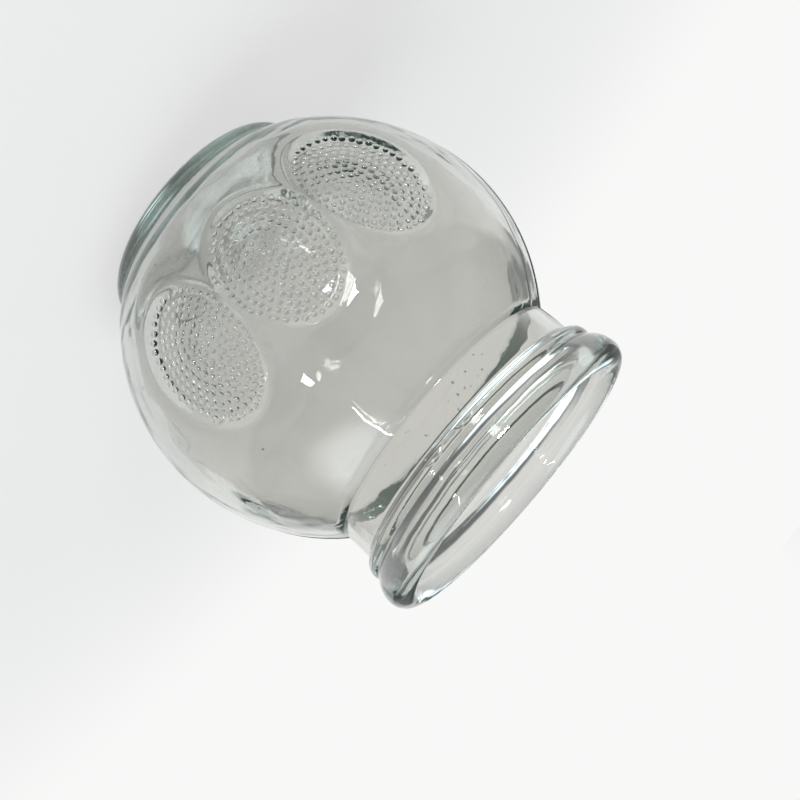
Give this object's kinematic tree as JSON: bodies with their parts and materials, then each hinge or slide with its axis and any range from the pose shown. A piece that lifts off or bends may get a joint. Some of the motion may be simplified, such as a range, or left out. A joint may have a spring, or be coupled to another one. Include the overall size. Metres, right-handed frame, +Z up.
{
  "type": "cupping glass",
  "caption": "Clear glass cupping jar: round bowl on a flat heel, scooped oval finger grips, short ringed neck and a thick rounded mouth that seals on skin when the air inside is heated.",
  "frame": {"origin": "centre of the base, on the plane that the heel stands on", "axes": "+Z up the cup's axis and out of its mouth, -Y through the middle of the group of grips, +X to the right seen from that side"},
  "size_m": [0.08, 0.0788, 0.0827],
  "materials": {
    "glass": "clear fire-polished soda-lime glass with a faint grey-green tint, stippled on the grips"
  },
  "bodies": {
    "root": {"cup": "glass"}
  },
  "joints": []
}
